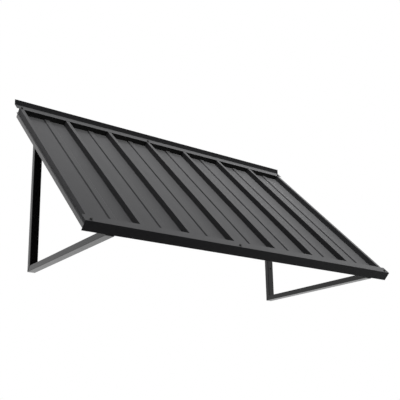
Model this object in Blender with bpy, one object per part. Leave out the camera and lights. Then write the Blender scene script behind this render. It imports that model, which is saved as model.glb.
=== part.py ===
"""Lean-to metal awning: standing-seam roof panels on a welded tube frame, carried by two
triangular wall brackets, with a wall flashing, a front trim and a trim down each side.

Metres. +X runs along the wall to the right, -Y points away from the wall, +Z is up. The wall is
the plane Y = 0, and the origin is the centre of the wall flashing's back face.
"""

import math

import bmesh
import bpy
from mathutils import Vector

# Overall size
SLOPE_ANGLE = math.radians(45.0)
SLOPE_LENGTH = 1.070
PANEL_WIDTH = 0.2286
PANEL_COUNT = 7

# Folded sheet
SHEET = 0.0008
BEND_RADIUS = 0.0006
BEND_STEPS = 3
FIT_GAP = 0.0003
WALL_CLEARANCE = 0.0008

# Standing seams, and the bead that stiffens each pan, to the right of its middle
SEAM_HEIGHT = 0.0254
SEAM_WIDTH = 0.0190
SEAM_LEG_INSET = 0.0018
SKIRT_LIFT = 0.0020
BEAD_BASE = 0.0360
BEAD_TOP = 0.0260
BEAD_HEIGHT = 0.0040
BEAD_OFFSET = 0.0170

# Wall flashing
FLANGE_HEIGHT = 0.0250
FLASHING_LEG = 0.0450
FLASHING_OVERHANG = 0.0164

# Front trim
TRIM_FLANGE = 0.0450
HEM_DEPTH = 0.0080
HEM_GAP = 0.0004
HEM_BEND_SHARE = 0.45
FASCIA_COVER = 0.0002

# Side trims
SIDE_LEDGE = 0.0060

# Foam closures under the flashing
CLOSURE_SETBACK = 0.0040
CLOSURE_WALL_GAP = 0.0010

# Frame under the panels, of rectangular tube
RAIL_WIDTH = 0.0300
RAIL_HEIGHT = 0.0150
RAIL_WALL = 0.0015
RAIL_CORNER = 0.0020

# Wall brackets, of heavier rectangular tube
TUBE_WIDTH = 0.0381
TUBE_DEPTH = 0.0254
TUBE_WALL = 0.0020
TUBE_CORNER = 0.0025
CORNER_STEPS = 3
BRACKET_INSET = 0.0870
BAR_DROP = 0.0020
FIXING_HOLE = 0.0090
FIXING_HEIGHTS = (0.25, 0.50, 0.75)

# Seam clips, tack-welded to the rails
CLIP_LENGTH = 0.0240
CLIP_FOOT = 0.0250

# Stitch screws through the flashing and the front trim into the seams
SCREWED_SEAMS = {"left": 0, "middle": 3, "right": PANEL_COUNT}
SCREW_FROM_LIP = 0.0090
SCREW_FROM_FASCIA = 0.0125
SHANK_DIAMETER = 0.0048
SHANK_LENGTH = 0.0160
POINT_LENGTH = 0.0040
HOLE_CLEARANCE = 0.0003
WASHER_DIAMETER = 0.0130
WASHER_THICKNESS = 0.0016
HEAD_FLATS = 0.0080
HEAD_HEIGHT = 0.0045
HEAD_CHAMFER = 0.0006
ROUND_SIDES = 24
HEX_SIDES = 6

# Heights above the roof plane, which is the top of the flashing's leg and of the trim's flange
CAP_TOP = -SHEET - FIT_GAP
PAN_TOP = CAP_TOP - SEAM_HEIGHT
PAN_BOTTOM = PAN_TOP - SHEET
LEG_TOP = CAP_TOP - 2 * SHEET - 2 * FIT_GAP
CLIP_BOTTOM = PAN_BOTTOM - FIT_GAP - SHEET
RAIL_TOP = CLIP_BOTTOM - FIT_GAP
RAIL_BOTTOM = RAIL_TOP - RAIL_HEIGHT
FASCIA_BOTTOM = RAIL_BOTTOM - FASCIA_COVER
ARM_TOP = RAIL_BOTTOM - FIT_GAP

# Distances down the slope from the bend of the flashing
PAN_START = -PAN_BOTTOM * math.tan(SLOPE_ANGLE) + WALL_CLEARANCE / math.cos(SLOPE_ANGLE)
FRAME_START = -FASCIA_BOTTOM * math.tan(SLOPE_ANGLE) + WALL_CLEARANCE / math.cos(SLOPE_ANGLE)
FRAME_END = SLOPE_LENGTH - 2 * SHEET - HEM_GAP - FIT_GAP
SCREW_ROWS = {"top": FLASHING_LEG - SCREW_FROM_LIP, "front": SLOPE_LENGTH - SCREW_FROM_FASCIA}
RAIL_ROWS = {
    "back": FRAME_START + RAIL_WIDTH / 2,
    "mid": (FRAME_START + FRAME_END) / 2,
    "front": FRAME_END - RAIL_WIDTH / 2,
}

# Places across the width
ROOF_HALF = PANEL_WIDTH * PANEL_COUNT / 2
SIDE_FACE = ROOF_HALF + SEAM_WIDTH / 2 + SIDE_LEDGE
TRIM_HALF = ROOF_HALF + SEAM_WIDTH / 2 + FLASHING_OVERHANG
RAIL_FACE = SIDE_FACE - SHEET - FIT_GAP
BRACKET_X = SIDE_FACE - BRACKET_INSET - TUBE_WIDTH / 2

# Heights in the world
ROOF_Z = -FLANGE_HEIGHT / 2
FASCIA_FOOT_Z = ROOF_Z - SLOPE_LENGTH * math.sin(SLOPE_ANGLE) + FASCIA_BOTTOM * math.cos(SLOPE_ANGLE)
BRACKET_Z = FASCIA_FOOT_Z - BAR_DROP


def clear_scene():
    for obj in list(bpy.data.objects):
        bpy.data.objects.remove(obj, do_unlink=True)


def coated(colour, roughness):
    """Values of a finish: base colour and roughness."""
    return {"colour": colour, "roughness": roughness}


POWDER_COAT = coated((0.018, 0.018, 0.019), 0.38)
FOAM = coated((0.006, 0.006, 0.006), 0.95)
SCREW_PAINT = coated((0.010, 0.010, 0.010), 0.45)


def empty(name, location, tilt=0.0):
    frame = bpy.data.objects.new(name, None)
    frame.location = location
    frame.rotation_euler.x = tilt
    bpy.context.scene.collection.objects.link(frame)
    return frame


def add_object(name, bm, finish, parent=None, location=(0.0, 0.0, 0.0)):
    """Makes an object of the bmesh, with a material of its own."""
    bmesh.ops.recalc_face_normals(bm, faces=bm.faces)
    mesh = bpy.data.meshes.new(name)
    bm.to_mesh(mesh)
    bm.free()
    mesh.shade_smooth()
    mesh.set_sharp_from_angle(angle=math.radians(40.0))
    material = bpy.data.materials.new(name + "_finish")
    material.use_nodes = True
    shader = material.node_tree.nodes["Principled BSDF"]
    shader.inputs["Base Color"].default_value = (*finish["colour"], 1.0)
    shader.inputs["Roughness"].default_value = finish["roughness"]
    mesh.materials.append(material)
    obj = bpy.data.objects.new(name, mesh)
    obj.parent = parent
    obj.location = location
    bpy.context.scene.collection.objects.link(obj)
    return obj


def make_cutter(obj):
    obj.hide_render = True
    obj.display_type = "WIRE"
    return obj


def cut(obj, cutter):
    boolean = obj.modifiers.new("cut_" + cutter.name, "BOOLEAN")
    boolean.operation = "DIFFERENCE"
    boolean.object = cutter


def sheet_section(path, bend=BEND_RADIUS):
    """The closed outline of a folded sheet. Its face follows the path, and the sheet lies on the
    path's right-hand side, with every fold rounded."""
    path = [Vector(point) for point in path]
    face, back = [], []
    for index, point in enumerate(path):
        first, last = index == 0, index == len(path) - 1
        before = (point - path[index - 1]).normalized() if not first else None
        after = (path[index + 1] - point).normalized() if not last else None
        if first or last:
            along = after if first else before
            face.append(point)
            back.append(point + Vector((along.y, -along.x)) * SHEET)
            continue
        turn = math.atan2(before.cross(after), before.dot(after))
        outside = turn < 0
        face_radius = bend + SHEET if outside else bend
        back_radius = bend if outside else bend + SHEET
        inward = Vector((before.y, -before.x)) * (1 if outside else -1)
        start = point - before * face_radius * math.tan(abs(turn) / 2)
        centre = start + inward * face_radius
        for step in range(BEND_STEPS + 1):
            angle = turn * step / BEND_STEPS
            spoke = Vector(
                (
                    -inward.x * math.cos(angle) + inward.y * math.sin(angle),
                    -inward.x * math.sin(angle) - inward.y * math.cos(angle),
                )
            )
            face.append(centre + spoke * face_radius)
            back.append(centre + spoke * back_radius)
    return face + back[::-1]


def extruded(section, point_at, start, end):
    """A solid of one section, between two places along its run."""
    bm = bmesh.new()
    outline = [bm.verts.new(point_at(*point, start)) for point in section]
    cap = bm.faces.new(outline)
    grown = bmesh.ops.extrude_face_region(bm, geom=[cap])
    moved = [item for item in grown["geom"] if isinstance(item, bmesh.types.BMVert)]
    reach = point_at(0.0, 0.0, end) - point_at(0.0, 0.0, start)
    bmesh.ops.translate(bm, verts=moved, vec=reach)
    return bm


def down_slope(x, height, distance):
    """A section across the roof, run down the slope."""
    return Vector((x, -distance, height))


def along_wall(y, z, x):
    """A section seen from the side, run along the wall."""
    return Vector((x, y, z))


def rounded_rectangle(width, depth, radius):
    """Outline of a tube, from its middle."""
    points = []
    for quarter, (side, rise) in enumerate(((1, 1), (-1, 1), (-1, -1), (1, -1))):
        centre = Vector((side * (width / 2 - radius), rise * (depth / 2 - radius)))
        for step in range(CORNER_STEPS + 1):
            angle = math.pi / 2 * (quarter + step / CORNER_STEPS)
            points.append(centre + radius * Vector((math.cos(angle), math.sin(angle))))
    return points


def tube(width, depth, wall, corner, middle, axis, across, start, end):
    """A rectangular tube round the line through middle along axis. Each end is a plane, given as
    a point and a normal, so that it can be mitred."""
    rise = axis.cross(across)
    bm = bmesh.new()
    rings = []
    inner_size = (width - 2 * wall, depth - 2 * wall, corner - wall)
    for outline in (rounded_rectangle(width, depth, corner), rounded_rectangle(*inner_size)):
        for point, normal in (start, end):
            ring = []
            for u, v in outline:
                base = middle + across * u + rise * v
                distance = (point - base).dot(normal) / axis.dot(normal)
                ring.append(bm.verts.new(base + axis * distance))
            rings.append(ring)
    outer_start, outer_end, inner_start, inner_end = rings
    pairs = (
        (outer_start, outer_end),
        (outer_end, inner_end),
        (inner_end, inner_start),
        (inner_start, outer_start),
    )
    for first, second in pairs:
        for index in range(len(first)):
            following = (index + 1) % len(first)
            bm.faces.new((first[index], first[following], second[following], second[index]))
    return bm


def seam_x(seam):
    return seam * PANEL_WIDTH - ROOF_HALF


def bead_points(pan_middle):
    """The bead's four corners on the top of the pan."""
    centre = pan_middle + BEAD_OFFSET
    return [
        (centre - BEAD_BASE / 2, PAN_TOP),
        (centre - BEAD_TOP / 2, PAN_TOP + BEAD_HEIGHT),
        (centre + BEAD_TOP / 2, PAN_TOP + BEAD_HEIGHT),
        (centre + BEAD_BASE / 2, PAN_TOP),
    ]


def seam_cap(x, left_foot, right_foot):
    """The cap over one seam, from its left foot up, across and down to its right foot."""
    left, right = x - SEAM_WIDTH / 2, x + SEAM_WIDTH / 2
    return [(left, left_foot), (left, CAP_TOP), (right, CAP_TOP), (right, right_foot)]


def panel_path(number):
    """One roof panel: a plain leg on its left, and on its right a cap over the next panel's leg.
    The last panel has a plain leg on both sides, for the side trims cap the outer legs."""
    left, right = seam_x(number - 1), seam_x(number)
    leg_offset = SEAM_WIDTH / 2 - SEAM_LEG_INSET
    path = [(left + leg_offset, LEG_TOP), (left + leg_offset, PAN_TOP)]
    path += bead_points((left + right) / 2)
    if number == PANEL_COUNT:
        return path + [(right - leg_offset, PAN_TOP), (right - leg_offset, LEG_TOP)]
    return path + seam_cap(right, PAN_TOP, PAN_TOP + SKIRT_LIFT)


def side_trim_path(side):
    """The trim that caps an outer seam, steps out along a ledge and hangs over the side rail."""
    cap = seam_cap(-ROOF_HALF, PAN_TOP, PAN_TOP + SKIRT_LIFT)
    path = [(-SIDE_FACE, FASCIA_BOTTOM), (-SIDE_FACE, PAN_TOP), *cap]
    return path if side == "left" else [(-x, height) for x, height in reversed(path)]


def seam_clip_path(seam):
    """A foot on the rail, a tab up the inner side of the panel's leg, and a lip over its top."""
    x = seam_x(seam)
    leg_left = x + SEAM_WIDTH / 2 - SEAM_LEG_INSET - SHEET
    tab_left = leg_left - FIT_GAP - SHEET
    foot_top, lip_top = CLIP_BOTTOM + SHEET, LEG_TOP + FIT_GAP + SHEET
    return [
        (tab_left - CLIP_FOOT, foot_top),
        (tab_left, foot_top),
        (tab_left, lip_top),
        (leg_left + SHEET, lip_top),
    ]


def closure_section(number):
    """Foam that fills the mouth under the flashing, between two seams and over the bead."""
    left = seam_x(number - 1) + SEAM_WIDTH / 2 + FIT_GAP
    right = seam_x(number) - SEAM_WIDTH / 2 - FIT_GAP
    foot = PAN_TOP + FIT_GAP
    bead = [(x, height + FIT_GAP) for x, height in bead_points((left + right) / 2)]
    return [(left, CAP_TOP), (left, foot), *bead, (right, foot), (right, CAP_TOP)]


def cylinder(radius, length, centre, axis):
    """A closed round bar, for a cutter."""
    bm = bmesh.new()
    turn = Vector((0.0, 0.0, 1.0)).rotation_difference(axis).to_matrix().to_4x4()
    turn.translation = centre
    bmesh.ops.create_cone(
        bm,
        cap_ends=True,
        segments=ROUND_SIDES,
        radius1=radius,
        radius2=radius,
        depth=length,
        matrix=turn,
    )
    return bm


def merged(bmeshes):
    """One bmesh holding several closed shapes."""
    whole = bmeshes[0]
    for bm in bmeshes[1:]:
        part = bpy.data.meshes.new("part")
        bm.to_mesh(part)
        bm.free()
        whole.from_mesh(part)
        bpy.data.meshes.remove(part)
    return whole


def build_stitch_cutter(slope):
    """Clearance holes for the stitch screws, through the trims and the seam caps."""
    depth = 2 * (2 * SHEET + FIT_GAP + BEND_RADIUS)
    holes = []
    for distance in SCREW_ROWS.values():
        for seam in SCREWED_SEAMS.values():
            centre = Vector((seam_x(seam), -distance, 0.0))
            radius = SHANK_DIAMETER / 2 + HOLE_CLEARANCE
            holes.append(cylinder(radius, depth, centre, Vector((0.0, 0.0, 1.0))))
    return make_cutter(add_object("stitch_hole_cutter", merged(holes), POWDER_COAT, slope))


def build_panels(slope, stitch_cutter):
    for number in range(1, PANEL_COUNT + 1):
        section = sheet_section(panel_path(number))
        bm = extruded(section, down_slope, PAN_START, FRAME_END)
        panel = add_object(f"roof_panel_{number}", bm, POWDER_COAT, slope)
        if number == SCREWED_SEAMS["middle"]:
            cut(panel, stitch_cutter)


def build_side_trims(slope, stitch_cutter):
    """The hanging face starts lower than the cap, so that it clears the wall."""
    for side, sign in (("left", -1), ("right", 1)):
        section = sheet_section(side_trim_path(side))
        bm = extruded(section, down_slope, PAN_START, FRAME_END)
        trim = add_object(f"side_trim_{side}", bm, POWDER_COAT, slope)
        notch_section = [
            (sign * (SIDE_FACE - 2 * SHEET), PAN_BOTTOM - BEND_RADIUS),
            (sign * (SIDE_FACE + SHEET), PAN_BOTTOM - BEND_RADIUS),
            (sign * (SIDE_FACE + SHEET), FASCIA_BOTTOM - SHEET),
            (sign * (SIDE_FACE - 2 * SHEET), FASCIA_BOTTOM - SHEET),
        ]
        notch = extruded(notch_section, down_slope, PAN_START - SHEET, FRAME_START)
        cut(trim, make_cutter(add_object(f"notch_cutter_{side}", notch, POWDER_COAT, slope)))
        cut(trim, stitch_cutter)


def build_wall_flashing(slope, stitch_cutter):
    """A flange flat on the wall, folded out into a leg that lies on the seams. It is drawn in
    the roof's own axes, and the flange turns back up to the vertical."""
    up_wall = Vector((math.sin(SLOPE_ANGLE), math.cos(SLOPE_ANGLE)))
    off_wall = Vector((-math.cos(SLOPE_ANGLE), math.sin(SLOPE_ANGLE)))
    flange_foot = off_wall * SHEET - up_wall * SHEET * math.tan(SLOPE_ANGLE)
    flange_top = off_wall * SHEET + up_wall * FLANGE_HEIGHT
    path = [(-FLASHING_LEG, 0.0), flange_foot, flange_top]
    bm = extruded(sheet_section(path), along_wall, -TRIM_HALF, TRIM_HALF)
    cut(add_object("wall_flashing", bm, POWDER_COAT, slope), stitch_cutter)


def build_front_trim(slope, stitch_cutter):
    """A fascia square to the slope, hemmed at its foot and folded back over the seams."""
    hem_face = -SLOPE_LENGTH + 2 * SHEET + HEM_GAP
    hem = [(hem_face, FASCIA_BOTTOM + HEM_DEPTH), (hem_face, FASCIA_BOTTOM)]
    fascia = [(-SLOPE_LENGTH, FASCIA_BOTTOM), (-SLOPE_LENGTH, 0.0)]
    flange = [(TRIM_FLANGE - SLOPE_LENGTH, 0.0)]
    section = sheet_section(hem + fascia + flange, bend=HEM_BEND_SHARE * HEM_GAP)
    bm = extruded(section, along_wall, -TRIM_HALF, TRIM_HALF)
    cut(add_object("front_trim", bm, POWDER_COAT, slope), stitch_cutter)


def build_closures(slope):
    start, end = PAN_START + CLOSURE_WALL_GAP, FLASHING_LEG - CLOSURE_SETBACK
    for number in range(1, PANEL_COUNT + 1):
        bm = extruded(closure_section(number), down_slope, start, end)
        add_object(f"closure_{number}", bm, FOAM, slope)


def build_seam_clips(slope):
    for row in ("back", "mid"):
        start = RAIL_ROWS[row] - CLIP_LENGTH / 2
        for seam in range(1, PANEL_COUNT):
            section = sheet_section(seam_clip_path(seam))
            bm = extruded(section, down_slope, start, start + CLIP_LENGTH)
            add_object(f"seam_clip_{row}_{seam}", bm, POWDER_COAT, slope)


def build_frame(slope):
    """Two side rails down the slope, with three cross rails butted between them."""
    size = (RAIL_WIDTH, RAIL_HEIGHT, RAIL_WALL, RAIL_CORNER)
    height = (RAIL_TOP + RAIL_BOTTOM) / 2
    x_axis, down = Vector((1.0, 0.0, 0.0)), Vector((0.0, -1.0, 0.0))
    ends = [(Vector((0.0, -distance, 0.0)), down) for distance in (FRAME_START, FRAME_END)]
    for side, sign in (("left", -1), ("right", 1)):
        middle = Vector((sign * (RAIL_FACE - RAIL_WIDTH / 2), 0.0, height))
        bm = tube(*size, middle, down, x_axis, *ends)
        add_object(f"side_rail_{side}", bm, POWDER_COAT, slope)
    reach = RAIL_FACE - RAIL_WIDTH - FIT_GAP
    ends = [(Vector((x, 0.0, 0.0)), x_axis) for x in (-reach, reach)]
    for row, distance in RAIL_ROWS.items():
        bm = tube(*size, Vector((0.0, -distance, height)), x_axis, down, *ends)
        add_object(f"{row}_rail", bm, POWDER_COAT, slope)


def build_brackets():
    """Each bracket is a post on the wall, a level bar and a sloping arm, welded at the corners.
    Measured from the foot of the post's back face."""
    size = (TUBE_WIDTH, TUBE_DEPTH, TUBE_WALL, TUBE_CORNER)
    across = Vector((1.0, 0.0, 0.0))
    up, out = Vector((0.0, 0.0, 1.0)), Vector((0.0, -1.0, 0.0))
    down = Vector((0.0, -math.cos(SLOPE_ANGLE), -math.sin(SLOPE_ANGLE)))
    roof_normal = Vector((0.0, -math.sin(SLOPE_ANGLE), math.cos(SLOPE_ANGLE)))
    bend = Vector((0.0, 0.0, ROOF_Z - BRACKET_Z))
    seat = bend + roof_normal * ARM_TOP
    seat_plane = (seat, roof_normal)
    mitre_normal = (up - out).normalized()
    post_foot = (mitre_normal * FIT_GAP / 2, mitre_normal)
    bar_foot = (-mitre_normal * FIT_GAP / 2, mitre_normal)
    post_face = (out * (TUBE_DEPTH + FIT_GAP), out)
    bar_top = (up * (TUBE_DEPTH + FIT_GAP), up)
    post_height = (ARM_TOP / math.cos(SLOPE_ANGLE)) + bend.z
    nose_depth = 2 * TUBE_DEPTH
    nose_section = [
        (-FRAME_END - nose_depth, ARM_TOP + nose_depth),
        (-FRAME_END - nose_depth, ARM_TOP - nose_depth),
        (-FRAME_END, ARM_TOP - nose_depth),
        (-FRAME_END, ARM_TOP + nose_depth),
    ]
    for side, sign in (("left", -1), ("right", 1)):
        place = Vector((sign * BRACKET_X, 0.0, BRACKET_Z))
        bracket = empty(f"bracket_{side}", place)
        middle = out * TUBE_DEPTH / 2
        bm = tube(*size, middle, up, across, post_foot, seat_plane)
        post = add_object(f"{side}_post", bm, POWDER_COAT, bracket)
        holes = [
            cylinder(FIXING_HOLE / 2, 4 * TUBE_DEPTH, up * post_height * share, out)
            for share in FIXING_HEIGHTS
        ]
        hole_cutter = add_object(f"fixing_cutter_{side}", merged(holes), POWDER_COAT, bracket)
        cut(post, make_cutter(hole_cutter))
        middle = up * TUBE_DEPTH / 2
        bm = tube(*size, middle, out, across, bar_foot, seat_plane)
        bar = add_object(f"{side}_bar", bm, POWDER_COAT, bracket)
        nose = extruded(nose_section, along_wall, -TUBE_WIDTH, TUBE_WIDTH)
        nose_cutter = add_object(f"nose_cutter_{side}", nose, POWDER_COAT, bracket, bend)
        nose_cutter.rotation_euler.x = SLOPE_ANGLE
        cut(bar, make_cutter(nose_cutter))
        middle = seat - roof_normal * TUBE_DEPTH / 2
        bm = tube(*size, middle, down, across, post_face, bar_top)
        add_object(f"{side}_arm", bm, POWDER_COAT, bracket)


def hexagon_radius(angle):
    """Distance from the middle of the hexagon to its edge."""
    sector = 2 * math.pi / HEX_SIDES
    return HEAD_FLATS / 2 / math.cos(angle % sector - sector / 2)


def screw_mesh():
    """A self-drilling screw with a hexagon head on a flat sealing washer, upright, with its
    washer's foot at height zero."""
    head_top = WASHER_THICKNESS + HEAD_HEIGHT
    shank = SHANK_DIAMETER / 2
    washer = WASHER_DIAMETER / 2
    rings = [
        (-SHANK_LENGTH, lambda angle: shank),
        (0.0, lambda angle: shank),
        (0.0, lambda angle: washer),
        (WASHER_THICKNESS, lambda angle: washer),
        (WASHER_THICKNESS, hexagon_radius),
        (head_top - HEAD_CHAMFER, hexagon_radius),
        (head_top, lambda angle: HEAD_FLATS / 2 - HEAD_CHAMFER),
    ]
    bm = bmesh.new()
    point = bm.verts.new((0.0, 0.0, -SHANK_LENGTH - POINT_LENGTH))
    previous = None
    for height, radius in rings:
        ring = []
        for side in range(ROUND_SIDES):
            angle = 2 * math.pi * side / ROUND_SIDES
            reach = radius(angle)
            ring.append(bm.verts.new((reach * math.cos(angle), reach * math.sin(angle), height)))
        for side in range(ROUND_SIDES):
            following = (side + 1) % ROUND_SIDES
            if previous is None:
                bm.faces.new((point, ring[following], ring[side]))
            else:
                bm.faces.new((previous[side], previous[following], ring[following], ring[side]))
        previous = ring
    bm.faces.new(previous)
    return bm


def build_screws(slope):
    for row, distance in SCREW_ROWS.items():
        for side, seam in SCREWED_SEAMS.items():
            place = (seam_x(seam), -distance, FIT_GAP)
            add_object(f"{row}_screw_{side}", screw_mesh(), SCREW_PAINT, slope, place)


def main():
    clear_scene()
    slope = empty("roof_slope", (0.0, 0.0, ROOF_Z), SLOPE_ANGLE)
    stitch_cutter = build_stitch_cutter(slope)
    build_panels(slope, stitch_cutter)
    build_side_trims(slope, stitch_cutter)
    build_wall_flashing(slope, stitch_cutter)
    build_front_trim(slope, stitch_cutter)
    build_closures(slope)
    build_seam_clips(slope)
    build_frame(slope)
    build_brackets()
    build_screws(slope)


main()
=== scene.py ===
import math

import bpy
from mathutils import Matrix, Vector


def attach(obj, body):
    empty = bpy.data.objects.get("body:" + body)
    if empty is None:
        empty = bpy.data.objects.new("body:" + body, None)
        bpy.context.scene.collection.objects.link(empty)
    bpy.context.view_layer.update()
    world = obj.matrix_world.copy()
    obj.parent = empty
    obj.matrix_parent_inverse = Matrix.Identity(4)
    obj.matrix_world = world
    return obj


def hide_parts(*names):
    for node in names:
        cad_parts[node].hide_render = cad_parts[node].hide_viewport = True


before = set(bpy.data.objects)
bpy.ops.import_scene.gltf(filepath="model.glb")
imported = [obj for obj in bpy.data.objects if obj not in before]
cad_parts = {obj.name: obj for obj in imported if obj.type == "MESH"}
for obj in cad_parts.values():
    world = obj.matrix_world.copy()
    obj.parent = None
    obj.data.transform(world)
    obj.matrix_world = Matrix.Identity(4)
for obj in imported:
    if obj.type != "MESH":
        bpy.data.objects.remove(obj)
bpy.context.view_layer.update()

# Wall brackets. Each is a post, a level bar and a sloping arm of 38.1 x 25.4 mm steel tube,
# mitred or butted, welded at the corners and powder coated satin black as one piece.
# The post is screwed to the wall through three holes, and the roof's frame sits on the arm.
BRACKET_MIDDLES = {"left": -0.70955, "right": 0.70955}
TUBE_WIDTH = 0.0381


def linear(colour):
    """An sRGB hex colour as the linear one that a shader takes."""
    parts = [int(colour[index : index + 2], 16) / 255 for index in (1, 3, 5)]
    return (*[p / 12.92 if p <= 0.04045 else ((p + 0.055) / 1.055) ** 2.4 for p in parts], 1.0)


def add_node(tree, kind, inputs, **settings):
    """A node with its settings, its numbers and its links."""
    made = tree.nodes.new("ShaderNode" + kind)
    for name, value in settings.items():
        setattr(made, name, value)
    for socket, value in inputs.items():
        if isinstance(value, bpy.types.NodeSocket):
            tree.links.new(value, made.inputs[socket])
        else:
            made.inputs[socket].default_value = value
    return made


PATCH_SIZE = 0.090
GLOSS_SPREAD = 0.03


def coat(name, dark, light, specular, roughness, grain, grain_depth):
    """A paint or plastic skin. Film that is thicker in some places than in others gives faint
    patches of shade and gloss a hand wide, and the skin has dimples of the grain's size."""
    material = bpy.data.materials.new(name)
    material.use_nodes = True
    tree = material.node_tree
    shader = tree.nodes["Principled BSDF"]
    place = add_node(tree, "TexCoord", {}).outputs["Object"]
    patches = add_node(tree, "TexNoise", {"Vector": place, "Scale": 1 / PATCH_SIZE, "Detail": 3.0})
    shade = add_node(
        tree,
        "Mix",
        {"Factor": patches.outputs["Fac"], "A": linear(dark), "B": linear(light)},
        data_type="RGBA",
    )
    gloss = add_node(
        tree,
        "MapRange",
        {
            "Value": patches.outputs["Fac"],
            "From Min": 0.3,
            "From Max": 0.7,
            "To Min": roughness - GLOSS_SPREAD,
            "To Max": roughness + GLOSS_SPREAD,
        },
    )
    dimples = add_node(tree, "TexNoise", {"Vector": place, "Scale": 1 / grain, "Detail": 1.0})
    skin = add_node(
        tree,
        "Bump",
        {"Height": dimples.outputs["Fac"], "Strength": 0.6, "Distance": grain_depth},
    )
    shader.inputs["Specular IOR Level"].default_value = specular
    tree.links.new(shade.outputs[2], shader.inputs["Base Color"])
    tree.links.new(gloss.outputs["Result"], shader.inputs["Roughness"])
    tree.links.new(skin.outputs["Normal"], shader.inputs["Normal"])
    return material


def finish_nodes(names, material):
    """The material takes the place of the plain one on these CAD nodes."""
    for name in names:
        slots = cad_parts[name].data.materials
        slots.clear()
        slots.append(material)


# Polyester powder baked on the tube: black, with a soft shine that shows most at a low angle,
# and an orange-peel skin of 3 mm dimples
bracket_coat = coat("powder_coated_tube", "#101011", "#161617", 0.38, 0.21, 0.0030, 0.00005)
bracket_nodes = [f"{side}_{piece}" for side in BRACKET_MIDDLES for piece in ("post", "bar", "arm")]
finish_nodes(bracket_nodes, bracket_coat)

# Corner welds of the brackets: beads laid by hand torch, each a row of overlapping ripples some
# 4 mm wide, and coated with the tube. One closes the mitre at the foot, one joins the arm to
# the post and one the arm to the bar, on both side faces and along the inner corner.
RIPPLE_STEP = 0.0016
RIPPLE_HALF = 0.0014
BEAD_HALF_WIDTH = 0.0020
BEAD_PROUD = 0.0012
CORNER_PROUD = 0.0022
CORNER_JOINTS = {
    "foot": ((-0.0045, -0.7975), (-0.0254, -0.77675)),
    "top": ((-0.0254, -0.1010), (-0.0254, -0.1360)),
    "front": ((-0.7010, -0.7767), (-0.6661, -0.7767)),
}
CORNER_OPENINGS = {"foot": (-0.707, 0.707), "top": (-0.383, -0.924), "front": (0.924, 0.383)}


def weld_bead(start, end, outward, proud):
    """One row of ripples from start to end, standing proud of the metal along outward."""
    run = end - start
    count = int(run.length / RIPPLE_STEP)
    bpy.ops.object.select_all(action="DESELECT")
    bpy.ops.mesh.primitive_uv_sphere_add(segments=10, ring_count=6, radius=1.0)
    bead = bpy.context.object
    bead.scale = (RIPPLE_HALF, BEAD_HALF_WIDTH, proud)
    bpy.ops.object.transform_apply(location=False, rotation=False, scale=True)
    bpy.ops.object.modifier_add(type="ARRAY")
    ripples = bead.modifiers[-1]
    ripples.count = count + 1
    ripples.use_relative_offset = False
    ripples.use_constant_offset = True
    ripples.constant_offset_displace = (run.length / count, 0.0, 0.0)
    bpy.ops.object.modifier_apply(modifier=ripples.name)
    bpy.ops.object.shade_smooth()
    along = run.normalized()
    side = outward.cross(along)
    turned = Matrix((along, side, outward)).transposed().to_4x4()
    bead.matrix_world = Matrix.Translation(start) @ turned
    bpy.ops.object.transform_apply(location=True, rotation=True, scale=True)
    return bead


def place_copies(beads, spots, material):
    """The beads of one joint are joined, and a copy of them goes to each named spot."""
    bpy.ops.object.select_all(action="DESELECT")
    for bead in beads:
        bead.select_set(True)
    bpy.context.view_layer.objects.active = beads[0]
    bpy.ops.object.join()
    pattern = bpy.context.object
    pattern.data.materials.append(material)
    for name, spot in spots.items():
        weld = bpy.data.objects.new(name, pattern.data.copy())
        bpy.context.scene.collection.objects.link(weld)
        weld.data.transform(Matrix.Translation(spot))
        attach(weld, "root")
    bpy.data.objects.remove(pattern)


for joint, ((start_y, start_z), (end_y, end_z)) in CORNER_JOINTS.items():
    beads = []
    for hand in (-1, 1):
        beads.append(
            weld_bead(
                Vector((hand * TUBE_WIDTH / 2, start_y, start_z)),
                Vector((hand * TUBE_WIDTH / 2, end_y, end_z)),
                Vector((hand, 0.0, 0.0)),
                BEAD_PROUD,
            )
        )
    beads.append(
        weld_bead(
            Vector((-TUBE_WIDTH / 2 + BEAD_HALF_WIDTH, end_y, end_z)),
            Vector((TUBE_WIDTH / 2 - BEAD_HALF_WIDTH, end_y, end_z)),
            Vector((0.0, *CORNER_OPENINGS[joint])).normalized(),
            CORNER_PROUD,
        )
    )
    spots = {
        f"{side}_{joint}_weld": Vector((middle, 0.0, 0.0))
        for side, middle in BRACKET_MIDDLES.items()
    }
    place_copies(beads, spots, bracket_coat)

# Frame under the roof: two side rails and three cross rails of 30 x 15 mm steel tube, butted,
# welded from below and powder coated black. It lies on the bracket arms.
SLOPE_ANGLE = math.radians(45.0)
ROOF_Z = -0.0125
RAIL_NODES = ["side_rail_left", "side_rail_right", "back_rail", "mid_rail", "front_rail"]


def on_slope(across, down, above):
    """A place on the roof: across it, down its slope and square above it."""
    y = -down * math.cos(SLOPE_ANGLE) - above * math.sin(SLOPE_ANGLE)
    z = ROOF_Z - down * math.sin(SLOPE_ANGLE) + above * math.cos(SLOPE_ANGLE)
    return Vector((across, y, z))


# Thinner powder than on the brackets, so a little duller
frame_coat = coat("powder_coated_rail", "#101011", "#151516", 0.50, 0.36, 0.0030, 0.00005)
finish_nodes(RAIL_NODES, frame_coat)

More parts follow.
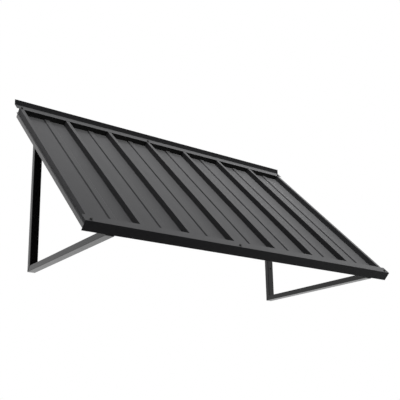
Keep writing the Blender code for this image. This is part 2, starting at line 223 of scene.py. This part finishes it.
# Welds of the frame: one short bead under each butt of a cross rail on a side rail, from the
# same torch as the brackets' and coated with the rails.
RAIL_FOOT = -0.0437
BUTT_ACROSS = 0.7845
BUTTS = {"back": 0.0600, "mid": 0.5564, "front": 1.0527}
BUTT_BEAD = 0.0260
below_roof = Vector((0.0, math.sin(SLOPE_ANGLE), -math.cos(SLOPE_ANGLE)))
down_slope = Vector((0.0, -math.cos(SLOPE_ANGLE), -math.sin(SLOPE_ANGLE)))
bead = weld_bead(-down_slope * BUTT_BEAD / 2, down_slope * BUTT_BEAD / 2, below_roof, BEAD_PROUD)
spots = {}
for side, hand in (("left", -1), ("right", 1)):
    for row, down in BUTTS.items():
        spots[f"{row}_rail_weld_{side}"] = on_slope(hand * BUTT_ACROSS, down, RAIL_FOOT)
place_copies([bead], spots, frame_coat)

# Plugs in the upper ends of the side rails: black polyethylene, moulded with a sunk middle and
# three springy fins on a stem behind, and pushed in until they are flush with the tube.
PLUG_WIDTH = 0.0268
PLUG_HEIGHT = 0.0118
PLUG_LIP = 0.0015
PLUG_ROUNDING = 0.0009
PLUG_RIM = 0.0016
PLUG_SLANT = 0.0006
PLUG_SUNK = 0.0007
PLUG_LENGTH = 0.0120
STEM_WIDTH = 0.0140
STEM_HEIGHT = 0.0030
FIN_COUNT = 3
FIN_FIRST = -0.0040
FIN_STEP = 0.0030
FIN_THICKNESS = 0.0008
FIN_SLACK = 0.0002
RAIL_END = 0.04503
PLUG_ACROSS = 0.7995
PLUG_ABOVE = -0.0362
bpy.ops.object.select_all(action="DESELECT")
bpy.ops.mesh.primitive_cube_add(size=1.0, location=(0.0, 0.0, -PLUG_LIP / 2))
plug = bpy.context.object
plug.scale = (PLUG_WIDTH, PLUG_HEIGHT, PLUG_LIP)
bpy.ops.object.transform_apply(location=True, rotation=True, scale=True)
bpy.ops.object.mode_set(mode="EDIT")
bpy.ops.mesh.select_all(action="DESELECT")
bpy.ops.object.mode_set(mode="OBJECT")
for edge in plug.data.edges:
    ends = [plug.data.vertices[index].co for index in edge.vertices]
    edge.select = abs(ends[0].z - ends[1].z) > PLUG_LIP / 2
bpy.ops.object.mode_set(mode="EDIT")
bpy.ops.mesh.select_mode(type="EDGE")
bpy.ops.mesh.bevel(offset=PLUG_ROUNDING, segments=3)
bpy.ops.mesh.select_mode(type="FACE")
bpy.ops.mesh.select_all(action="DESELECT")
bpy.ops.object.mode_set(mode="OBJECT")
for face in plug.data.polygons:
    face.select = face.normal.z > 0.9
bpy.ops.object.mode_set(mode="EDIT")
bpy.ops.mesh.inset(thickness=PLUG_RIM)
bpy.ops.mesh.inset(thickness=PLUG_SLANT, depth=-PLUG_SUNK)
bpy.ops.object.mode_set(mode="OBJECT")
plug_parts = [plug]
stem_middle = -PLUG_LIP - (PLUG_LENGTH - PLUG_LIP) / 2
bpy.ops.mesh.primitive_cube_add(size=1.0, location=(0.0, 0.0, stem_middle))
stem = bpy.context.object
stem.scale = (STEM_WIDTH, STEM_HEIGHT, PLUG_LENGTH - PLUG_LIP)
plug_parts.append(stem)
for number in range(FIN_COUNT):
    fin_middle = FIN_FIRST - FIN_STEP * number
    bpy.ops.mesh.primitive_cube_add(size=1.0, location=(0.0, 0.0, fin_middle))
    fin = bpy.context.object
    fin.scale = (PLUG_WIDTH - FIN_SLACK, PLUG_HEIGHT - FIN_SLACK, FIN_THICKNESS)
    plug_parts.append(fin)
for part in plug_parts:
    part.select_set(True)
bpy.context.view_layer.objects.active = plug
bpy.ops.object.transform_apply(location=True, rotation=True, scale=True)
bpy.ops.object.join()
plug_mesh = plug.data
# Polyethylene from a spark-eroded mould: black, waxy, with a fine grain that dulls it
moulded_black = coat("moulded_polyethylene", "#0b0b0b", "#101010", 0.50, 0.55, 0.0012, 0.00003)
plug_mesh.materials.append(moulded_black)
plug_turn = Matrix((Vector((1.0, 0.0, 0.0)), below_roof, -down_slope)).transposed().to_4x4()
for side, hand in (("left", -1), ("right", 1)):
    fitted = bpy.data.objects.new(f"rail_plug_{side}", plug_mesh.copy())
    bpy.context.scene.collection.objects.link(fitted)
    place = on_slope(hand * PLUG_ACROSS, RAIL_END, PLUG_ABOVE)
    fitted.data.transform(Matrix.Translation(place) @ plug_turn)
    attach(fitted, "root")
bpy.data.objects.remove(plug)

# Seam clips: strips of coated sheet, each with a foot tacked on the back or middle rail and an
# upright that stands inside an inner seam and keeps the panels down.
PANEL_COUNT = 7
for row in ("back", "mid"):
    finish_nodes([f"seam_clip_{row}_{seam}" for seam in range(1, PANEL_COUNT)], frame_coat)

# Roof panels: seven sheets of 0.8 mm steel, coated flat in the coil and then folded. Each has a
# low stiffening bead along its pan and a hollow seam that snaps over its neighbour's upright.
DUST_WEIGHT = 0.25
DUST_ROUGHNESS = 0.40


def lay_dust(material):
    """A film of fine dust, hardly seen from straight ahead and pale at a low angle."""
    shader = material.node_tree.nodes["Principled BSDF"]
    shader.inputs["Sheen Weight"].default_value = DUST_WEIGHT
    shader.inputs["Sheen Roughness"].default_value = DUST_ROUGHNESS


# Coil polyester in a mat black: even, with hardly any gloss, and a fine grain that a distant eye
# sees only as dullness. The dust on it turns it charcoal where it is looked along
sheet_coat = coat("coil_coated_sheet", "#38383a", "#3e3e40", 0.085, 0.55, 0.0020, 0.00002)
lay_dust(sheet_coat)
finish_nodes([f"roof_panel_{number}" for number in range(1, PANEL_COUNT + 1)], sheet_coat)

# Side trims: folded from the same coated sheet. Each caps an outer seam, steps out along a
# narrow ledge and hangs down over the side rail, and its hem is turned under.
SKIRT_TOP = -0.0270
SKIRT_ROUGHNESS = 0.30
BEND_BLUR = 0.0002
# The same polyester, dulled to chalk by rain and dust on the cap. The skirt hangs sheltered below
# the ledge, and there it keeps the satin shine of new sheet and mirrors the pale surroundings
trim_coat = coat("weathered_coil_coat", "#38383a", "#3e3e40", 0.50, 0.95, 0.0020, 0.00002)
lay_dust(trim_coat)
tree = trim_coat.node_tree
chalky = tree.nodes["Principled BSDF"].inputs["Roughness"]
place = add_node(tree, "TexCoord", {}).outputs["Object"]
above_roof = (0.0, -math.sin(SLOPE_ANGLE), math.cos(SLOPE_ANGLE))
height = add_node(tree, "VectorMath", {0: place, 1: above_roof}, operation="DOT_PRODUCT")
ledge = ROOF_Z * math.cos(SLOPE_ANGLE) + SKIRT_TOP
sheltered = add_node(
    tree,
    "MapRange",
    {
        "Value": height.outputs["Value"],
        "From Min": ledge + BEND_BLUR,
        "From Max": ledge - BEND_BLUR,
    },
)
gloss = add_node(
    tree,
    "Mix",
    {"Factor": sheltered.outputs["Result"], "A": chalky.links[0].from_socket, "B": SKIRT_ROUGHNESS},
    data_type="FLOAT",
)
tree.links.new(gloss.outputs[0], chalky)
finish_nodes(["side_trim_left", "side_trim_right"], trim_coat)

# Closures: blocks of black polyethylene foam with the pan's outline, pushed in between the
# seams under the flashing, where they keep out rain and insects.
# Closed cells of 1 to 2 mm, cut open at the surface, give a dull black that drinks the light
foam = coat("closed_cell_foam", "#080808", "#0c0c0c", 0.28, 0.90, 0.0020, 0.00030)
finish_nodes([f"closure_{number}" for number in range(1, PANEL_COUNT + 1)], foam)

# Wall flashing: one folded sheet with a flange on the wall and a leg that lies on the seams,
# hemmed along its lip and fixed by three of the stitch screws.
finish_nodes(["wall_flashing"], sheet_coat)

# Front trim: one folded sheet across the lower ends of the panels. Its flange lies on the
# seams, and its fascia hangs square to the roof and hides the front rail.
finish_nodes(["front_trim"], sheet_coat)

# Stitch screws: six self-drilling steel screws with a hexagon washer head over a steel washer
# bonded to rubber, three through the flashing and three through the front trim, into seams.
# They stand for the CAD's plain screws.
SCREW_SEAMS = {"left": -0.8001, "middle": -0.1143, "right": 0.8001}
SCREW_ROWS = {"top": 0.0360, "front": 1.0575}
SCREW_ABOVE = 0.0003
ROUND_SIDES = 32
ROD_SIDES = 20
RUBBER_RADIUS = 0.0062
RUBBER_THICKNESS = 0.0008
DISC_RADIUS = 0.0065
DISC_THICKNESS = 0.0008
COLLAR_RADIUS = 0.0050
COLLAR_THICKNESS = 0.0008
RIM_ROUNDING = 0.0003
HEAD_ACROSS_FLATS = 0.0080
HEAD_ROUNDING = 0.0004
HEAD_RIM = 0.0008
HEAD_SLANT = 0.0006
HEAD_SUNK = 0.0004
HEAD_TOP = 0.0061
THREAD_ROOT = 0.0018
THREAD_CREST = 0.0024
THREAD_FOOT = 0.00162
THREAD_PITCH = 0.0016
THREAD_TURNS = 8
THREAD_START = -0.0020
SHANK_LENGTH = 0.0160
POINT_LENGTH = 0.0040


def turned_part(sides, radius, low, high, bevel):
    """An upright cylinder or prism from low to high, its top rim rounded by bevel."""
    bpy.ops.object.select_all(action="DESELECT")
    bpy.ops.mesh.primitive_cylinder_add(
        vertices=sides, radius=radius, depth=high - low, location=(0.0, 0.0, (high + low) / 2)
    )
    part = bpy.context.object
    bpy.ops.object.transform_apply(location=True, rotation=True, scale=True)
    if bevel > 0.0:
        bpy.ops.object.mode_set(mode="EDIT")
        bpy.ops.mesh.select_mode(type="FACE")
        bpy.ops.mesh.select_all(action="DESELECT")
        bpy.ops.object.mode_set(mode="OBJECT")
        for face in part.data.polygons:
            face.select = face.normal.z > 0.9
        bpy.ops.object.mode_set(mode="EDIT")
        bpy.ops.mesh.bevel(offset=bevel, segments=2)
        bpy.ops.object.mode_set(mode="OBJECT")
    return part


# Rubber under the washer: moulded, dead black, squeezed a little beyond dull
rubber = coat("washer_rubber", "#0a0a0a", "#0f0f0f", 0.42, 0.80, 0.0010, 0.00003)
# Head and washer are stoved with the sheet's colour: near black, a soft shine on the edges
screw_paint = coat("painted_screw", "#0b0b0c", "#0f0f10", 0.38, 0.45, 0.0010, 0.00002)
# The shank keeps its bright zinc plating, slightly clouded
zinc = coat("zinc_plating", "#a9acb0", "#b6b9bc", 0.50, 0.34, 0.0010, 0.00001)
zinc.node_tree.nodes["Principled BSDF"].inputs["Metallic"].default_value = 1.0

seal = turned_part(ROUND_SIDES, RUBBER_RADIUS, 0.0, RUBBER_THICKNESS, 0.0)
seal.data.materials.append(rubber)
disc_top = RUBBER_THICKNESS + DISC_THICKNESS
disc = turned_part(ROUND_SIDES, DISC_RADIUS, RUBBER_THICKNESS, disc_top, RIM_ROUNDING)
disc.data.materials.append(screw_paint)
collar_top = disc_top + COLLAR_THICKNESS
collar = turned_part(ROUND_SIDES, COLLAR_RADIUS, disc_top, collar_top, RIM_ROUNDING)
collar.data.materials.append(screw_paint)
hexagon_radius = HEAD_ACROSS_FLATS / 2 / math.cos(math.radians(30.0))
hexagon = turned_part(6, hexagon_radius, collar_top, HEAD_TOP, HEAD_ROUNDING)
hexagon.data.materials.append(screw_paint)
bpy.ops.object.mode_set(mode="EDIT")
bpy.ops.mesh.select_all(action="DESELECT")
bpy.ops.object.mode_set(mode="OBJECT")
for face in hexagon.data.polygons:
    face.select = face.normal.z > 0.999
bpy.ops.object.mode_set(mode="EDIT")
bpy.ops.mesh.inset(thickness=HEAD_RIM)
bpy.ops.mesh.inset(thickness=HEAD_SLANT, depth=-HEAD_SUNK)
bpy.ops.object.mode_set(mode="OBJECT")
core = turned_part(ROD_SIDES, THREAD_ROOT, -SHANK_LENGTH, 0.0, 0.0)
core.data.materials.append(zinc)
bpy.ops.object.select_all(action="DESELECT")
bpy.ops.mesh.primitive_cone_add(
    vertices=ROD_SIDES, radius1=THREAD_CREST, radius2=THREAD_FOOT, depth=THREAD_PITCH / 2
)
lower_flank = bpy.context.object
bpy.ops.object.duplicate()
upper_flank = bpy.context.object
upper_flank.rotation_euler = (math.pi, 0.0, 0.0)
upper_flank.location = (0.0, 0.0, -THREAD_PITCH / 2)
lower_flank.select_set(True)
bpy.context.view_layer.objects.active = lower_flank
bpy.ops.object.transform_apply(location=True, rotation=True, scale=True)
bpy.ops.object.join()
thread = bpy.context.object
bpy.ops.object.modifier_add(type="ARRAY")
turns = thread.modifiers[-1]
turns.count = THREAD_TURNS
turns.use_relative_offset = False
turns.use_constant_offset = True
turns.constant_offset_displace = (0.0, 0.0, -THREAD_PITCH)
bpy.ops.object.modifier_apply(modifier=turns.name)
thread.location = (0.0, 0.0, THREAD_START)
bpy.ops.object.transform_apply(location=True, rotation=True, scale=True)
thread.data.materials.append(zinc)
bpy.ops.object.select_all(action="DESELECT")
bpy.ops.mesh.primitive_cone_add(
    vertices=12,
    radius1=THREAD_ROOT,
    radius2=0.0,
    depth=POINT_LENGTH,
    location=(0.0, 0.0, -SHANK_LENGTH - POINT_LENGTH / 2),
    rotation=(math.pi, 0.0, 0.0),
)
drill_point = bpy.context.object
drill_point.data.materials.append(zinc)
bpy.ops.object.transform_apply(location=True, rotation=True, scale=True)
for part in (seal, disc, collar, hexagon, core, thread, drill_point):
    part.select_set(True)
bpy.context.view_layer.objects.active = disc
bpy.ops.object.join()
screw = bpy.context.object
bpy.ops.object.shade_smooth_by_angle(angle=math.radians(35.0))
screw_mesh = screw.data
screw_turn = Matrix.Rotation(SLOPE_ANGLE, 4, "X")
for row, down in SCREW_ROWS.items():
    for side, across in SCREW_SEAMS.items():
        fitted = bpy.data.objects.new(f"stitch_screw_{row}_{side}", screw_mesh.copy())
        bpy.context.scene.collection.objects.link(fitted)
        place = on_slope(across, down, SCREW_ABOVE)
        fitted.data.transform(Matrix.Translation(place) @ screw_turn)
        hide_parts(f"{row}_screw_{side}")
        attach(fitted, "root")
bpy.data.objects.remove(screw)

# The floor: pale painted concrete far below, as under an awning over a door. It fades to white
# some metres off, where the studio's paper rises. It is matt, and throws little light upwards.
FLOOR_Z = -2.85
FLOOR_RADIUS = 40.0
FADE_START = 1.2
FADE_END = 3.5
CLOUD_SIZE = 0.6
bpy.ops.object.select_all(action="DESELECT")
bpy.ops.mesh.primitive_circle_add(
    vertices=96, radius=FLOOR_RADIUS, fill_type="NGON", location=(0.0, 0.0, FLOOR_Z)
)
floor = bpy.context.object
floor.name = "floor"
bpy.ops.object.transform_apply(location=True, rotation=True, scale=True)
floor_paint = bpy.data.materials.new("floor_paint")
floor_paint.use_nodes = True
tree = floor_paint.node_tree
shader = tree.nodes["Principled BSDF"]
shader.inputs["Roughness"].default_value = 0.9
shader.inputs["Specular IOR Level"].default_value = 0.1
place = add_node(tree, "TexCoord", {}).outputs["Object"]
flat = add_node(tree, "VectorMath", {0: place, 1: (1.0, 1.0, 0.0)}, operation="MULTIPLY")
reach = add_node(tree, "VectorMath", {0: flat.outputs["Vector"]}, operation="LENGTH")
fade = add_node(
    tree,
    "MapRange",
    {"Value": reach.outputs["Value"], "From Min": FADE_START, "From Max": FADE_END},
    interpolation_type="SMOOTHSTEP",
)
clouds = add_node(tree, "TexNoise", {"Vector": place, "Scale": 1 / CLOUD_SIZE, "Detail": 2.0})
trowelled = add_node(
    tree,
    "Mix",
    {"Factor": clouds.outputs["Fac"], "A": linear("#d3d3d3"), "B": linear("#d9d9d9")},
    data_type="RGBA",
)
tree.links.new(trowelled.outputs[2], shader.inputs["Base Color"])
white = add_node(tree, "Emission", {"Color": (1.0, 1.0, 1.0, 1.0), "Strength": 1.0})
spread = add_node(
    tree,
    "MixShader",
    {0: fade.outputs["Result"], 1: shader.outputs["BSDF"], 2: white.outputs["Emission"]},
)
dim = add_node(tree, "Emission", {"Color": linear("#343434"), "Strength": 1.0})
rays = add_node(tree, "LightPath", {}).outputs
seen = add_node(
    tree,
    "MixShader",
    {0: rays["Is Diffuse Ray"], 1: spread.outputs["Shader"], 2: dim.outputs["Emission"]},
)
tree.links.new(seen.outputs["Shader"], tree.nodes["Material Output"].inputs["Surface"])
floor.data.materials.append(floor_paint)

# The studio: white to the eye and in every gloss, while the light that it sends out is brightest
# above and behind and weak below, as under a wide hood.
HOOD_TOP = (0.0, 0.55, 0.83)
GLOW_BELOW = 0.04
GLOW_ABOVE = 0.57
world = bpy.data.worlds.new("studio")
bpy.context.scene.world = world
world.use_nodes = True
tree = world.node_tree
direction = add_node(tree, "TexCoord", {}).outputs["Generated"]
rise = add_node(tree, "VectorMath", {0: direction, 1: HOOD_TOP}, operation="DOT_PRODUCT")
glow = add_node(
    tree,
    "MapRange",
    {
        "Value": rise.outputs["Value"],
        "From Min": -0.4,
        "From Max": 0.9,
        "To Min": GLOW_BELOW,
        "To Max": GLOW_ABOVE,
    },
    interpolation_type="SMOOTHSTEP",
)
rays = add_node(tree, "LightPath", {}).outputs
level = add_node(
    tree,
    "Mix",
    {"Factor": rays["Is Diffuse Ray"], "A": 1.0, "B": glow.outputs["Result"]},
    data_type="FLOAT",
)
tree.links.new(level.outputs[0], tree.nodes["Background"].inputs["Color"])
tree.nodes["Background"].inputs["Strength"].default_value = 1.0

# The key lamp: one soft disc high above the awning and a little behind it. Its glint is left
# out, because the white studio already stands in every gloss.
KEY_STRENGTH = 1.5
KEY_SPREAD = math.radians(14.0)
KEY_FROM = Vector((0.08, 0.10, 1.0))
key = bpy.data.lights.new("key_lamp", "SUN")
key.energy = KEY_STRENGTH
key.angle = KEY_SPREAD
key_lamp = bpy.data.objects.new("key_lamp", key)
key_lamp.rotation_euler = KEY_FROM.to_track_quat("Z", "Y").to_euler()
key_lamp.visible_glossy = False
bpy.context.scene.collection.objects.link(key_lamp)

# The side lamp: a square screen a metre wide, above and to the right of the awning, so the roof
# grows lighter towards it. It only fills in, so it throws no shadows.
SIDE_WATTS = 100.0
SIDE_WIDTH = 1.0
SIDE_PLACE = Vector((2.2, 0.3, 1.6))
AWNING_MIDDLE = Vector((0.0, -0.35, -0.40))
side_light = bpy.data.lights.new("side_lamp", "AREA")
side_light.energy = SIDE_WATTS
side_light.size = SIDE_WIDTH
side_light.use_shadow = False
side_lamp = bpy.data.objects.new("side_lamp", side_light)
side_lamp.location = SIDE_PLACE
side_lamp.rotation_euler = (SIDE_PLACE - AWNING_MIDDLE).to_track_quat("Z", "Y").to_euler()
side_lamp.visible_glossy = False
bpy.context.scene.collection.objects.link(side_lamp)

# The camera stands in front and to the left, below the awning, and looks up at it. The lens is
# shifted a little, as the photograph was framed.
CAMERA_PLACE = Vector((-1.86130, -2.83337, -1.46964))
CAMERA_YAW = math.radians(36.439)
CAMERA_PITCH = math.radians(14.164)
CAMERA_ROLL = math.radians(-1.055)
CAMERA_LENS = 61.123
CAMERA_SHIFT = 0.130
SENSOR_WIDTH = 36.0
ahead = Vector(
    (
        math.sin(CAMERA_YAW) * math.cos(CAMERA_PITCH),
        math.cos(CAMERA_YAW) * math.cos(CAMERA_PITCH),
        math.sin(CAMERA_PITCH),
    )
)
level = Vector((math.cos(CAMERA_YAW), -math.sin(CAMERA_YAW), 0.0))
upright = level.cross(ahead)
across = level * math.cos(CAMERA_ROLL) + upright * math.sin(CAMERA_ROLL)
upward = upright * math.cos(CAMERA_ROLL) - level * math.sin(CAMERA_ROLL)
lens = bpy.data.cameras.new("camera")
lens.lens = CAMERA_LENS
lens.sensor_width = SENSOR_WIDTH
lens.shift_y = CAMERA_SHIFT
camera = bpy.data.objects.new("camera", lens)
camera_turn = Matrix((across, upward, -ahead)).transposed().to_4x4()
camera.matrix_world = Matrix.Translation(CAMERA_PLACE) @ camera_turn
bpy.context.scene.collection.objects.link(camera)
bpy.context.scene.camera = camera
bpy.context.scene.view_settings.view_transform = "Standard"
